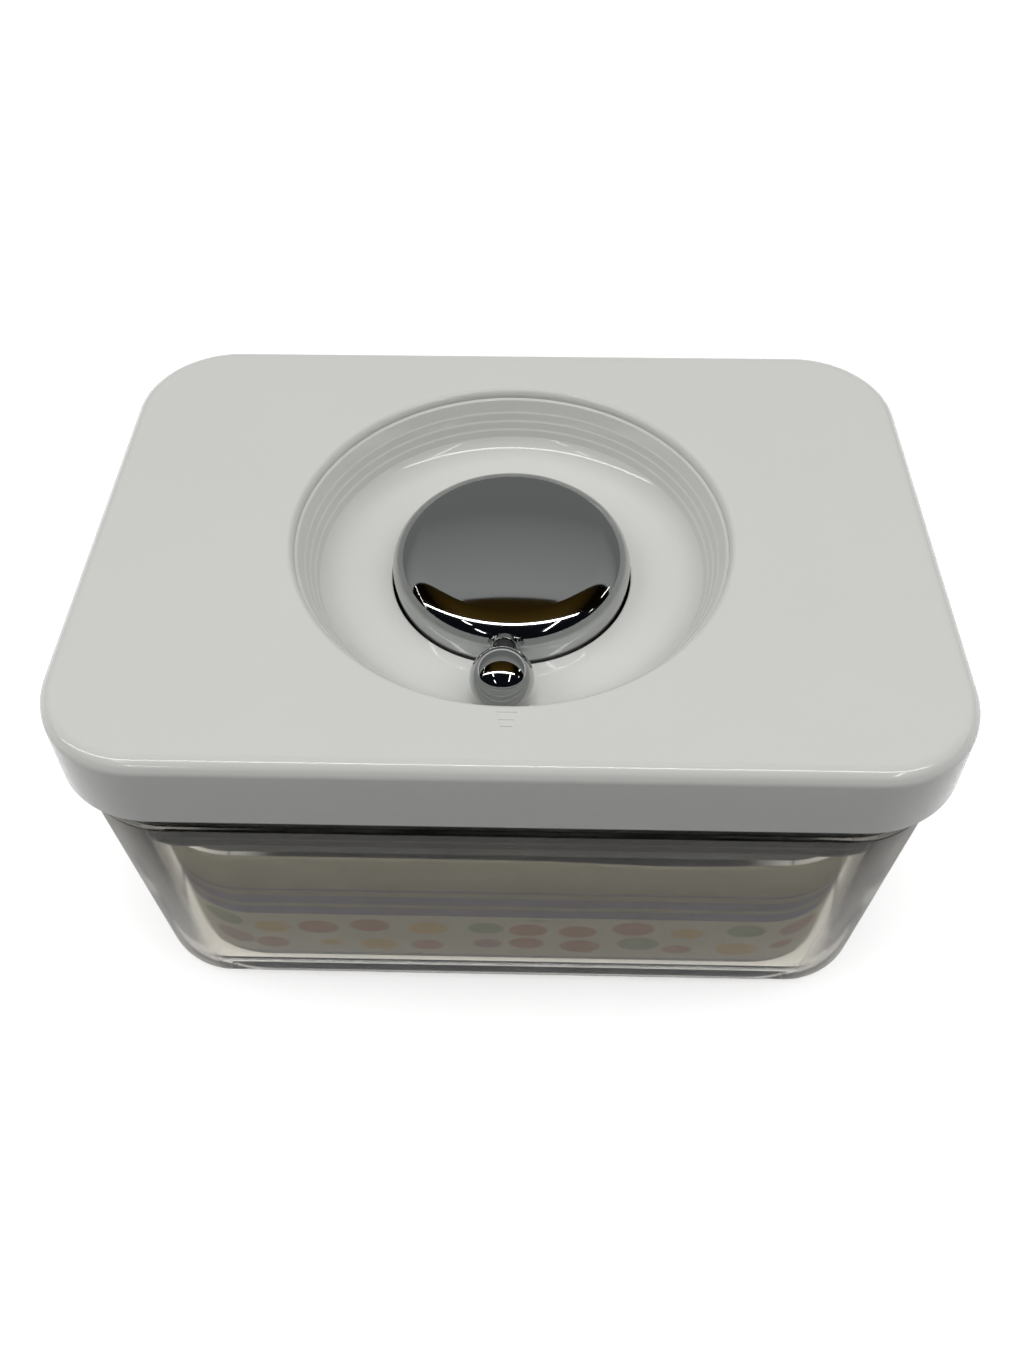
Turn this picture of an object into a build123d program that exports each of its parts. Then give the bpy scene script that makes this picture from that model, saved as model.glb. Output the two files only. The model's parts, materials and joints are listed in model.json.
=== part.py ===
from build123d import *
import math
import os

# A food canister with a press-in lid. A clear tub takes a deep plug that hangs under a white
# cover. Turning the ball lever of the round dial lowers or lifts a pressure plate, which
# relaxes or squeezes the silicone sleeve round the plug against the tub's wall.
# Millimetres, X to the right, Y to the back, Z up; the origin is the middle of the tub's foot.

# Tub
tub_length = 194.5
tub_width = 134.1
tub_corner = 22.4
tub_wall = 3.0
tub_floor = 3.5
tub_foot_round = 5.8
bore_floor_round = 8.0
neck_step = 1.2
shoulder_round = 0.5
rim_round = 0.6
foot_recess = 0.8
foot_land = 9.0

# Heights that the lid and the tub share
total_height = 108.0
skirt_height = 18.8
shoulder_gap = 8.2
rim_drop = 10.0

# Cover
lid_overhang = 2.75
lid_draft = 1.65
lid_edge_round = 3.7
lid_wall = 2.2
post_radius = 4.0
post_inset = 20.0

# Dish in the cover
dish_depth = 14.9
dish_wall = 2.0
dish_lip_round = 1.6
dish_lip_depth = 2.2
rim_ledge = 1.3
rim_ledge_drop = 0.3
ledge_in = 0.55
ledge_down = 0.45
riser_in = 0.3
riser_down = 1.6
foot_angle = 37.6
fillet_margin = 0.85
fillet_shift = 0.5

# Index mark in front of the dish
mark_gap = 0.8
mark_length = 4.7
mark_wide = 4.5
mark_narrow = 1.8
mark_depth = 0.3
mark_bar = 0.6
mark_bar_shares = (0.35, 0.7)

# Dial
dome_radius = 28.75
dome_gap = 0.4
dome_side = 3.2
dome_edge_round = 6.7
dome_shoulder_round = 10.0
dome_shoulder_angle = 33.0
dome_crown_angle = 9.6
dome_wall = 1.5
dome_tuck = 2.1
hub_step = 0.4
hub_thickness = 3.0
barrel_radius = 9.5
slot_head = 0.85
barrel_tail = 0.7
barrel_gap = 0.4

# Lever
ball_radius = 7.1
ball_floor_gap = 0.6
neck_reach = 3.35
neck_radius = 2.6
lever_tilt = 10.0
lever_angle = -92.0
stud_radius = 1.25
spigot_radius = 1.6
spigot_depth = 4.5
collar_step = 0.35
collar_reach = 0.3
lug_width = 7.0
lug_length = 7.0
lug_inset = 5.25
lug_roof = 1.2
grub_radius = 1.25
grub_length = 3.2

# Bearing of the dial
bush_wall = 2.45
bush_flange = 1.5
bush_flange_reach = 3.0
tower_wall = 2.5
washer_thickness = 0.4
clip_thickness = 0.7
clip_depth = 0.8
clip_reach = 1.8
clip_land = 0.95
clip_opening = 60.0

# Lift mechanism
lift_travel = 2.5
dial_sweep = 90.0
slot_steps = 18
spindle_radius = 4.0
pin_radius = 1.5
pin_set_back = 0.3
spindle_top_drop = 2.0
collar_radius = 6.2
collar_height = 1.5
spindle_tail_radius = 3.0

# Plug and seal
flange_thickness = 2.0
plug_gap = 1.0
plug_wall = 2.0
plug_floor = 2.5
gasket_height = 7.2
gasket_wall = 3.5
gasket_gap = 0.3
rib_height = 3.0
rib_wall = 2.0
plate_thickness = 2.0
plate_rim_depth = 4.0
plate_rim_wall = 2.5

# Guide pins between the plate and the plug
guide_offset = 40.0
guide_radius = 2.0
guide_boss_wall = 2.5
guide_boss_height = 3.0
guide_reach = 3.0
guide_root = 1.5

# Return spring round the spindle
spring_radius = 7.5
spring_wire = 0.6
spring_turns = 3.0
spring_seat_gap = 0.1

# Vent valve in the pressure plate
vent_offset = 36.0
vent_cap_radius = 7.0
vent_cap_height = 2.2
vent_stem_radius = 1.5
vent_bulb_radius = 2.2
vent_bulb_height = 2.0
vent_hole_radius = 1.0
vent_hole_circle = 4.0
vent_hole_count = 4

# Screws
cover_screw_radius = 1.5
cover_screw_grip = 12.0
cover_head_radius = 3.0
cover_head_height = 2.0
hub_screw_radius = 1.1
hub_screw_grip = 4.5
hub_head_radius = 2.1
hub_head_height = 1.5
hub_screw_inset = 10.75
hub_boss_radius = 3.0
hub_screw_angles = (60.0, 180.0, 300.0)
plate_screw_radius = 2.0
plate_screw_grip = 9.0
plate_head_radius = 3.8
plate_head_height = 2.4
seal_radius = 7.0
seal_thickness = 0.8
drive_share = 0.45
drive_depth = 1.0

# Liner inside the tub
liner_thickness = 0.35
liner_corner = 30.0
liner_gap = 0.3
liner_top_gap = 0.3
liner_foot_gap = 1.0

# Fits and shared allowances
running_fit = 0.05
slide_gap = 0.15
face_gap = 0.05
seat_fit = 0.02
overrun = 1.0

# Sizes of the tub and the cover that follow from the ones above
bore_length = tub_length - 2 * tub_wall
bore_width = tub_width - 2 * tub_wall
bore_corner = tub_corner - tub_wall
neck_length = tub_length - 2 * neck_step
neck_width = tub_width - 2 * neck_step
lid_length = tub_length + 2 * lid_overhang
lid_width = tub_width + 2 * lid_overhang
lid_corner = tub_corner + lid_overhang
skirt_bottom = total_height - skirt_height
shoulder_height = skirt_bottom - shoulder_gap
rim_height = total_height - rim_drop

# Places of the dial and the lever
dish_floor = total_height - dish_depth
opening_radius = dome_radius + dome_gap
dome_bottom = dish_floor - dome_tuck
dome_edge = dish_floor + dome_side
shoulder_sin = math.sin(math.radians(dome_shoulder_angle))
shoulder_cos = math.cos(math.radians(dome_shoulder_angle))
crown_sin = math.sin(math.radians(dome_crown_angle))
crown_cos = math.cos(math.radians(dome_crown_angle))
edge_centre = dome_radius - dome_edge_round
shoulder_centre = edge_centre + (dome_edge_round - dome_shoulder_round) * shoulder_sin
crown_round = dome_shoulder_round + shoulder_centre / crown_sin
shoulder_level = dome_edge + (dome_edge_round - dome_shoulder_round) * shoulder_cos
crown_level = shoulder_level + (dome_shoulder_round - crown_round) * crown_cos
dome_top = crown_level + crown_round
ball_orbit = dome_radius + neck_reach + ball_radius
ball_height = dish_floor + ball_floor_gap + ball_radius
tilt_cos = math.cos(math.radians(lever_tilt))
tilt_tan = math.tan(math.radians(lever_tilt))
hub_top = dish_floor + hub_step
hub_bottom = hub_top - hub_thickness
hub_radius = dome_radius - dome_wall - running_fit
hub_screw_circle = dome_radius - hub_screw_inset
lug_outer = dome_radius - lug_inset
lug_inner = lug_outer - lug_length
lug_top = ball_height - (ball_orbit - lug_outer) * tilt_tan + stud_radius / tilt_cos + lug_roof

# Places down the dial's barrel, from the hub to the plug's floor
slot_radius = pin_radius + slide_gap
pin_height = hub_bottom - slot_head - slot_radius
slot_bottom = pin_height - lift_travel - slot_radius
groove_top = slot_bottom - clip_land
groove_bottom = groove_top - clip_thickness - 2 * face_gap
barrel_bottom = groove_bottom - barrel_tail
plug_floor_top = barrel_bottom - barrel_gap
plug_floor_bottom = plug_floor_top - plug_floor
washer_top = hub_bottom - face_gap
bush_top = washer_top - washer_thickness - face_gap
bush_bore = barrel_radius + running_fit
bush_radius = bush_bore + bush_wall
tower_top = bush_top - bush_flange
tower_radius = bush_radius + tower_wall

# Places of the seal and the plate
gasket_length = bore_length - 2 * gasket_gap
gasket_width = bore_width - 2 * gasket_gap
gasket_corner = bore_corner - gasket_gap
rib_length = gasket_length - 2 * gasket_wall - 2 * gasket_gap
rib_width = gasket_width - 2 * gasket_wall - 2 * gasket_gap
rib_corner = gasket_corner - gasket_wall - gasket_gap
plug_length = bore_length - 2 * plug_gap
plug_width = bore_width - 2 * plug_gap
plug_corner = bore_corner - plug_gap
plate_top = plug_floor_bottom - gasket_height
plate_bottom = plate_top - plate_thickness
plate_foot = plate_top - plate_rim_depth
plate_rim_corner = liner_corner + liner_gap - plug_gap
post_x = plug_length / 2 - post_inset
post_y = plug_width / 2 - post_inset
post_places = [(x, y) for x in (-post_x, post_x) for y in (-post_y, post_y)]
guide_places = [(-guide_offset, 0), (guide_offset, 0)]


def block(length, width, corner, bottom, top):
    """Upright block with rounded corners between two heights."""
    return Pos(0, 0, bottom) * extrude(RectangleRounded(length, width, corner), top - bottom)


def frame_ring(length, width, corner, wall, bottom, top):
    """Rectangular sleeve with rounded corners and an even wall."""
    hollow = block(length - 2 * wall, width - 2 * wall, corner - wall, bottom - overrun, top + overrun)
    return block(length, width, corner, bottom, top) - hollow


def post(radius, bottom, top, x=0, y=0):
    """Upright round post."""
    return Pos(x, y, (bottom + top) / 2) * Cylinder(radius, top - bottom)


def ring(outer, inner, bottom, top):
    """Upright round sleeve."""
    return post(outer, bottom, top) - post(inner, bottom - overrun, top + overrun)


def along_lever(radius, near, far):
    """Round bar on the lever's axis, measured from the ball's centre towards the dial."""
    axis = Pos(ball_orbit, 0, ball_height) * Rot(0, -(90 + lever_tilt), 0)
    return axis * post(radius, near, far)


def lever_distance(radius):
    """Distance along the lever's axis from the ball's centre to a radius of the dial."""
    return (ball_orbit - radius) / tilt_cos


def lever_height(radius):
    """Height of the lever's axis at a radius of the dial."""
    return ball_height - (ball_orbit - radius) * tilt_tan


def at_lever(shape):
    """Turns a piece drawn along +X to where the lever points at rest."""
    return Rot(0, 0, lever_angle) * shape


def screw(radius, grip, head_radius, head_height, head_bottom):
    """Screw with its head down and its shank up, with a drive recess in the head."""
    head_top = head_bottom + head_height
    head = post(head_radius, head_bottom, head_top)
    recess = post(head_radius * drive_share, head_bottom - overrun, head_bottom + drive_depth)
    return head + post(radius, head_top, head_top + grip) - recess


def canister_tub():
    body = block(tub_length, tub_width, tub_corner, 0, shoulder_height)
    body = fillet(body.faces().sort_by(Axis.Z)[0].edges(), tub_foot_round)
    body = fillet(body.faces().sort_by(Axis.Z)[-1].edges(), shoulder_round)
    neck = block(neck_length, neck_width, tub_corner - neck_step, shoulder_height - overrun, rim_height)
    neck = fillet(neck.faces().sort_by(Axis.Z)[-1].edges(), rim_round)
    bore = block(bore_length, bore_width, bore_corner, tub_floor, rim_height + overrun)
    bore = fillet(bore.faces().sort_by(Axis.Z)[0].edges(), bore_floor_round)
    land = 2 * (tub_foot_round + foot_land)
    foot_corner = tub_corner - tub_foot_round
    recess = block(tub_length - land, tub_width - land, foot_corner, -overrun, foot_recess)
    return body + neck - bore - recess


def printed_liner():
    length = bore_length - 2 * liner_gap
    width = bore_width - 2 * liner_gap
    bottom = tub_floor + bore_floor_round + liner_foot_gap
    top = plate_bottom - lift_travel - liner_top_gap
    return frame_ring(length, width, liner_corner, liner_thickness, bottom, top)


def dish_outline(inset):
    """Dish surface, or its underside one wall away: floor, fillet and the foot of the wall."""
    centre_x = ball_orbit + fillet_shift
    radius = ball_radius + fillet_margin
    centre_z = dish_floor + radius
    reach = radius + inset
    mid, end = math.radians(-(90 + foot_angle) / 2), math.radians(-foot_angle)
    start_point = (centre_x, 0, centre_z - reach)
    mid_point = (centre_x + reach * math.cos(mid), 0, centre_z + reach * math.sin(mid))
    end_point = (centre_x + reach * math.cos(end), 0, centre_z + reach * math.sin(end))
    return start_point, mid_point, end_point


def dish_rings(foot):
    """Points of the stepped wall, from its foot to the ledge under the lip."""
    radius, height = foot[0], foot[2]
    points = [(radius, 0, height)]
    crease = total_height - dish_lip_depth
    count = int((crease - height) / (ledge_down + riser_down))
    for step in range(count):
        radius, height = radius + ledge_in, height + ledge_down
        points.append((radius, 0, height))
        if step < count - 1:
            radius, height = radius + riser_in, height + riser_down
            points.append((radius, 0, height))
    wall_top = crease - rim_ledge_drop
    radius += (wall_top - height) * riser_in / riser_down
    points.append((radius, 0, wall_top))
    points.append((radius + rim_ledge, 0, crease))
    return points


def lid_cover():
    lower = Pos(0, 0, skirt_bottom) * RectangleRounded(lid_length, lid_width, lid_corner)
    upper = Pos(0, 0, total_height) * RectangleRounded(
        lid_length - 2 * lid_draft, lid_width - 2 * lid_draft, lid_corner - lid_draft
    )
    shell = loft([lower, upper], ruled=True)
    shell = fillet(shell.faces().sort_by(Axis.Z)[-1].edges(), lid_edge_round)
    wall = 2 * lid_wall
    roof = total_height - lid_wall
    roof_draft = lid_draft * (skirt_height - lid_wall) / skirt_height
    mouth = RectangleRounded(lid_length - wall, lid_width - wall, lid_corner - lid_wall)
    crown = RectangleRounded(
        lid_length - wall - 2 * roof_draft,
        lid_width - wall - 2 * roof_draft,
        lid_corner - lid_wall - roof_draft,
    )
    hollow = loft([Pos(0, 0, skirt_bottom) * mouth, Pos(0, 0, roof) * crown], ruled=True)
    shell = shell - hollow

    floor_start, floor_mid, foot = dish_outline(0)
    rings = dish_rings(foot)
    crease = rings[-1]
    lip = (crease[0] + dish_lip_round, 0, total_height)
    turn = math.radians(45)
    lip_mid = (
        lip[0] - dish_lip_round * math.cos(turn),
        0,
        crease[2] + dish_lip_depth * math.sin(turn),
    )
    above = total_height + overrun
    air = Polyline((0, 0, above), (0, 0, dish_floor), floor_start)
    air += ThreePointArc(floor_start, floor_mid, foot)
    air += Polyline(*rings)
    air += ThreePointArc(crease, lip_mid, lip)
    air += Polyline(lip, (lip[0], 0, above), (0, 0, above))
    air = revolve(make_face(air.edges()), Axis.Z)

    under_start, under_mid, under_foot = dish_outline(dish_wall)
    edge = (crease[0] + dish_wall + lid_wall, 0, roof)
    under = Polyline((0, 0, total_height), (0, 0, under_start[2]), under_start)
    under += ThreePointArc(under_start, under_mid, under_foot)
    under += Polyline(under_foot, edge, (edge[0], 0, total_height), (0, 0, total_height))
    under = revolve(make_face(under.edges()), Axis.Z)
    cover = shell + under - air - post(opening_radius, plug_floor_top, above)

    hole_top = plug_floor_top + cover_screw_grip
    for x, y in post_places:
        cover += post(post_radius, plug_floor_top, roof + lid_wall / 2, x, y)
        cover -= post(cover_screw_radius + seat_fit, plug_floor_top - overrun, hole_top, x, y)

    front = -(lip[0] + mark_gap)
    half_wide, half_narrow = mark_wide / 2, mark_narrow / 2
    corners = [(-half_wide, front), (half_wide, front)]
    corners += [(half_narrow, front - mark_length), (-half_narrow, front - mark_length)]
    mark = extrude(make_face(Polyline(*corners, close=True)), mark_depth + overrun)
    for share in mark_bar_shares:
        bar = Rectangle(mark_wide, mark_bar)
        mark -= Pos(0, front - share * mark_length, 0) * extrude(bar, mark_depth + overrun)
    return cover - Pos(0, 0, total_height - mark_depth) * mark


def cover_screws():
    head_bottom = plug_floor_bottom - cover_head_height
    one = screw(cover_screw_radius, cover_screw_grip, cover_head_radius, cover_head_height, head_bottom)
    return Compound([Pos(x, y, 0) * one for x, y in post_places])


def inner_lid():
    flange_length = neck_length - 2 * rim_round
    flange_width = neck_width - 2 * rim_round
    flange_corner = tub_corner - neck_step - rim_round
    flange_top = rim_height + flange_thickness
    tray = block(plug_length, plug_width, plug_corner, plug_floor_bottom, rim_height)
    tray += block(flange_length, flange_width, flange_corner, rim_height, flange_top)
    wall = 2 * plug_wall
    hollow_top = flange_top + overrun
    tray -= block(plug_length - wall, plug_width - wall, plug_corner - plug_wall, plug_floor_top, hollow_top)
    tray += post(tower_radius, plug_floor_top - face_gap, tower_top)
    tray -= post(bush_radius + seat_fit, plug_floor_top, tower_top + overrun)
    rib_bottom = plug_floor_bottom - rib_height
    tray += frame_ring(rib_length, rib_width, rib_corner, rib_wall, rib_bottom, plug_floor_bottom)
    tray -= post(spindle_radius + running_fit, rib_bottom, tower_top)
    for x, y in guide_places:
        sleeve_top = plug_floor_top + guide_boss_height
        tray += post(guide_radius + guide_boss_wall, plug_floor_top, sleeve_top, x, y)
        tray -= post(guide_radius + running_fit, rib_bottom, sleeve_top + overrun, x, y)
    for x, y in post_places:
        tray -= post(cover_screw_radius + slide_gap, rib_bottom, tower_top, x, y)
    return tray


def seal_gasket():
    bottom = plate_top + face_gap
    return frame_ring(gasket_length, gasket_width, gasket_corner, gasket_wall, bottom, plug_floor_bottom)


def dial_bush():
    sleeve = ring(bush_radius, bush_bore, groove_top, tower_top)
    return sleeve + ring(bush_radius + bush_flange_reach, bush_bore, tower_top, bush_top)


def thrust_washer():
    bottom = washer_top - washer_thickness
    return ring(bush_radius + bush_flange_reach, barrel_radius + slide_gap, bottom, washer_top)


def dome_arc(centre, level, radius, start_angle, end_angle):
    """Arc of the cap's outline between two tilts of its surface from the level."""
    points = []
    for angle in (start_angle, (start_angle + end_angle) / 2, end_angle):
        tilt = math.radians(angle)
        points.append((centre + radius * math.sin(tilt), 0, level + radius * math.cos(tilt)))
    return ThreePointArc(*points)


def dome_form(inset, bottom):
    """Cap with upright sides that turn over an edge and a shoulder into a shallow crown."""
    edge_arc = dome_arc(edge_centre, dome_edge, dome_edge_round - inset, 90, dome_shoulder_angle)
    shoulder_arc = dome_arc(
        shoulder_centre, shoulder_level, dome_shoulder_round - inset, dome_shoulder_angle, dome_crown_angle
    )
    crown_arc = dome_arc(0, crown_level, crown_round - inset, dome_crown_angle, 0)
    side = dome_radius - inset
    outline = Polyline((0, 0, dome_top - inset), (0, 0, bottom), (side, 0, bottom), (side, 0, dome_edge))
    outline = outline + edge_arc + shoulder_arc + crown_arc
    return revolve(make_face(outline.edges()), Axis.Z)


def dome_outside():
    return dome_form(0, dome_bottom)


def dome_cap():
    outside = dome_outside()
    cap = outside - dome_form(dome_wall, dome_bottom - overrun)
    hole_top = hub_top + hub_screw_grip
    for angle in hub_screw_angles:
        boss = Rot(0, 0, angle) * post(hub_boss_radius, hub_top, dome_top, hub_screw_circle)
        hole = post(hub_screw_radius + seat_fit, hub_bottom, hole_top, hub_screw_circle)
        cap += boss & outside
        cap -= Rot(0, 0, angle) * hole
    stud_hole = along_lever(stud_radius + running_fit, ball_radius, lever_distance(lug_outer))
    return at_lever(cap - stud_hole)


def dial_hub():
    hub = post(hub_radius, hub_bottom, hub_top)
    hub += post(barrel_radius, barrel_bottom, hub_bottom)
    lug_height = lug_top - hub_top
    lug = Box(lug_length, lug_width, lug_height)
    hub += Pos(lug_inner + lug_length / 2, 0, hub_top + lug_height / 2) * lug
    hub -= along_lever(stud_radius + running_fit, ball_radius, lever_distance(lug_inner - overrun))
    hub -= post(grub_radius + seat_fit, hub_bottom - overrun, lever_height(grub_place()), grub_place())
    head_top = hub_bottom + hub_head_height
    for angle in hub_screw_angles:
        shank = post(hub_screw_radius + slide_gap, hub_bottom, hub_top + overrun, hub_screw_circle)
        head = post(hub_head_radius + slide_gap, hub_bottom - overrun, head_top, hub_screw_circle)
        hub -= Rot(0, 0, angle) * (shank + head)
    hub = at_lever(hub)
    hub -= post(spindle_radius + running_fit, barrel_bottom - overrun, hub_top + overrun)
    hub -= ring(barrel_radius + overrun, barrel_radius - clip_depth, groove_bottom, groove_top)
    bore = Rot(0, 90, 0) * Cylinder(slot_radius, 2 * (barrel_radius + overrun))
    for step in range(slot_steps + 1):
        share = step / slot_steps
        hub -= Pos(0, 0, pin_height - share * lift_travel) * Rot(0, 0, -share * dial_sweep) * bore
    return hub


def grub_place():
    """Radius at which the lever's grub screw stands in the hub's lug."""
    return (lug_inner + lug_outer) / 2


def hub_screws():
    one = screw(hub_screw_radius, hub_screw_grip, hub_head_radius, hub_head_height, hub_bottom)
    one = Pos(hub_screw_circle, 0, 0) * one
    return Compound([Rot(0, 0, lever_angle + angle) * one for angle in hub_screw_angles])


def lever_screw():
    top = lever_height(grub_place() - grub_radius) - stud_radius / tilt_cos - face_gap
    bottom = top - grub_length
    drive = post(grub_radius * drive_share, bottom - overrun, bottom + drive_depth, grub_place())
    return at_lever(post(grub_radius, bottom, top, grub_place()) - drive)


def ball_form():
    return Pos(ball_orbit, 0, ball_height) * Sphere(ball_radius)


def ball_knob():
    hole = along_lever(spigot_radius + seat_fit, ball_radius - spigot_depth - face_gap, 2 * ball_radius)
    return at_lever(ball_form() - hole)


def lever_neck():
    neck = along_lever(neck_radius, ball_radius / 2, lever_distance(hub_radius))
    neck = neck - ball_form() - dome_outside()
    neck += along_lever(spigot_radius, ball_radius - spigot_depth, ball_radius)
    stud = along_lever(stud_radius, ball_radius, lever_distance(lug_inner))
    return at_lever(neck + stud)


def neck_collar():
    face = lever_distance(dome_radius + collar_reach)
    collar = along_lever(neck_radius + collar_step, face, lever_distance(edge_centre))
    bore = along_lever(neck_radius + seat_fit, 0, lever_distance(lug_inner))
    return at_lever(collar - bore - dome_outside())


def retaining_clip():
    inner = barrel_radius - clip_depth + face_gap
    outer = inner + clip_reach
    bottom = groove_bottom + face_gap
    clip = ring(outer, inner, bottom, bottom + clip_thickness)
    half = math.radians(clip_opening / 2)
    reach = outer + overrun
    wedge_tip = (0, 0)
    wedge_a = (-reach * math.sin(half), -reach)
    wedge_b = (reach * math.sin(half), -reach)
    wedge = extrude(make_face(Polyline(wedge_tip, wedge_a, wedge_b, close=True)), 2 * clip_thickness)
    return clip - Pos(0, 0, bottom - clip_thickness / 2) * wedge


def pressure_plate():
    plate = block(plug_length, plug_width, plug_corner, plate_bottom, plate_top)
    plate += frame_ring(plug_length, plug_width, plate_rim_corner, plate_rim_wall, plate_foot, plate_bottom)
    rib_top = plate_top + rib_height
    plate += frame_ring(rib_length, rib_width, rib_corner, rib_wall, plate_top, rib_top)
    plate -= post(spindle_tail_radius + seat_fit, plate_foot, rib_top)
    for x, y in guide_places:
        boss_top = plate_top + guide_boss_height
        plate += post(guide_radius + guide_boss_wall, plate_top, boss_top, x, y)
        plate -= post(guide_radius + seat_fit, plate_top - guide_root, boss_top + overrun, x, y)
    plate -= post(vent_stem_radius + seat_fit, plate_foot, rib_top, 0, vent_offset)
    for turn in range(vent_hole_count):
        hole = post(vent_hole_radius, plate_foot, rib_top, vent_hole_circle)
        plate -= Pos(0, vent_offset, 0) * Rot(0, 0, turn * 360 / vent_hole_count) * hole
    return plate


def lift_spindle():
    spindle = post(spindle_radius, plate_top, hub_top - spindle_top_drop)
    spindle += post(collar_radius, plate_top, plate_top + collar_height)
    spindle += post(spindle_tail_radius, plate_bottom, plate_top)
    spindle -= Pos(0, 0, pin_height) * Rot(0, 90, 0) * Cylinder(pin_radius + seat_fit, 2 * barrel_radius)
    thread_top = plate_bottom + plate_screw_grip
    return spindle - post(plate_screw_radius + seat_fit, plate_bottom - overrun, thread_top)


def cross_pin():
    return Pos(0, 0, pin_height) * Rot(0, 90, 0) * Cylinder(pin_radius, 2 * (barrel_radius - pin_set_back))


def guide_pins():
    bottom = plate_top - guide_root + face_gap
    top = plug_floor_top + guide_reach
    return Compound([post(guide_radius, bottom, top, x, y) for x, y in guide_places])


def plate_seal():
    return ring(seal_radius, plate_screw_radius + slide_gap, plate_bottom - seal_thickness, plate_bottom)


def plate_screw():
    head_bottom = plate_bottom - seal_thickness - plate_head_height
    grip = plate_screw_grip + seal_thickness - overrun
    return screw(plate_screw_radius, grip, plate_head_radius, plate_head_height, head_bottom)


def vent_valve():
    cap = post(vent_cap_radius, plate_top, plate_top + vent_cap_height)
    cap = fillet(cap.edges().filter_by(lambda edge: edge.is_closed).sort_by(Axis.Z)[-1], vent_cap_height / 2)
    valve = cap + post(vent_stem_radius, plate_bottom, plate_top)
    valve += post(vent_bulb_radius, plate_bottom - vent_bulb_height, plate_bottom)
    return Pos(0, vent_offset, 0) * valve


def return_spring():
    bottom = plate_top + spring_wire + spring_seat_gap
    top = plug_floor_bottom - spring_wire - spring_seat_gap
    height = top - bottom
    path = Pos(0, 0, bottom) * Helix(height / spring_turns, height, spring_radius)
    start = Plane(path @ 0, z_dir=path % 0)
    return sweep(start * Circle(spring_wire), path, is_frenet=True)


parts = {
    "canister_tub": canister_tub,
    "printed_liner": printed_liner,
    "lid_cover": lid_cover,
    "inner_lid": inner_lid,
    "seal_gasket": seal_gasket,
    "cover_screws": cover_screws,
    "dial_bush": dial_bush,
    "thrust_washer": thrust_washer,
    "dome_cap": dome_cap,
    "dial_hub": dial_hub,
    "hub_screws": hub_screws,
    "lever_neck": lever_neck,
    "neck_collar": neck_collar,
    "ball_knob": ball_knob,
    "lever_screw": lever_screw,
    "retaining_clip": retaining_clip,
    "pressure_plate": pressure_plate,
    "lift_spindle": lift_spindle,
    "cross_pin": cross_pin,
    "guide_pins": guide_pins,
    "plate_seal": plate_seal,
    "plate_screw": plate_screw,
    "vent_valve": vent_valve,
    "return_spring": return_spring,
}

os.makedirs("parts", exist_ok=True)
for name, make in parts.items():
    export_step(make(), f"parts/{name}.step")
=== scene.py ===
# %% [markdown]
# # A food canister with a dial in its lid
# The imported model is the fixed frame: every piece below is built round it, in the same place and
# at the same size. Blender works in metres. The numbers here are millimetres, because that is
# how such a canister is drawn, and they are scaled once, when a mesh is made.

# %% Load the frame
import json
import math

import bmesh
import bpy
import numpy as np
from mathutils import Matrix, Vector


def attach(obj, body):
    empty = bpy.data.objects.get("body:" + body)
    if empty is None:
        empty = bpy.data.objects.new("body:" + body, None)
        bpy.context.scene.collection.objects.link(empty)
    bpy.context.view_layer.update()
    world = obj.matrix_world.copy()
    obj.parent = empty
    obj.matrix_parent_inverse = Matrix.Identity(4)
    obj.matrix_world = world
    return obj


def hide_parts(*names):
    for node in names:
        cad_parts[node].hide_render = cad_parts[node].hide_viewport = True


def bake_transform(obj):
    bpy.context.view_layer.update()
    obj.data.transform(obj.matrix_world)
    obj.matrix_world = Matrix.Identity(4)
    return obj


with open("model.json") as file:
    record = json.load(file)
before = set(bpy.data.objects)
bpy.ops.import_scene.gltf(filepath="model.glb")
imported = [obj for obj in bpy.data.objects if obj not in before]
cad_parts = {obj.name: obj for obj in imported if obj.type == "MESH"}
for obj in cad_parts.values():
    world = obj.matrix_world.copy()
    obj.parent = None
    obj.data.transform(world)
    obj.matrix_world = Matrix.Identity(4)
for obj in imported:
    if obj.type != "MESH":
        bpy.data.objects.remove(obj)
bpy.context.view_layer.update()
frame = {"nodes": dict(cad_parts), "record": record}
MM = 0.001

# %% [markdown]
# ## The camera
# The photograph looks down on the lid from in front, with a short lens. A camera is a place, three
# directions and a focal length. The directions come from three angles, which is easier to check
# than a rotation read off a viewport. The small shift moves the frame without turning the lens.

# %% Camera
pitch, yaw, roll = np.radians([52.71, -1.54, -0.40])
camera_place = np.array([3.63, -180.77, 284.84])
focal_length, sensor_width = 28.146, 36.0
frame_shift = (0.00345, 0.00114)

ahead = np.array([math.sin(yaw) * math.cos(pitch), math.cos(yaw) * math.cos(pitch), -math.sin(pitch)])
level_right = np.array([math.cos(yaw), -math.sin(yaw), 0.0])
level_up = np.cross(level_right, ahead)
right = level_right * math.cos(roll) + level_up * math.sin(roll)
upward = level_up * math.cos(roll) - level_right * math.sin(roll)

lens = bpy.data.cameras.new("photo_view")
lens.lens, lens.sensor_width = focal_length, sensor_width
lens.shift_x, lens.shift_y = frame_shift
lens.clip_start, lens.clip_end = 0.01, 50.0
camera = bpy.data.objects.new("photo_view", lens)
turn = np.eye(4)
turn[:3, 0], turn[:3, 1], turn[:3, 2] = right, upward, -ahead
turn[:3, 3] = camera_place * MM
camera.matrix_world = Matrix(turn.tolist())
bpy.context.scene.collection.objects.link(camera)
bpy.context.scene.camera = camera
bpy.context.scene.view_settings.view_transform = "Standard"
print("camera at", [round(v, 4) for v in camera.location], "lens", lens.lens)

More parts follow.
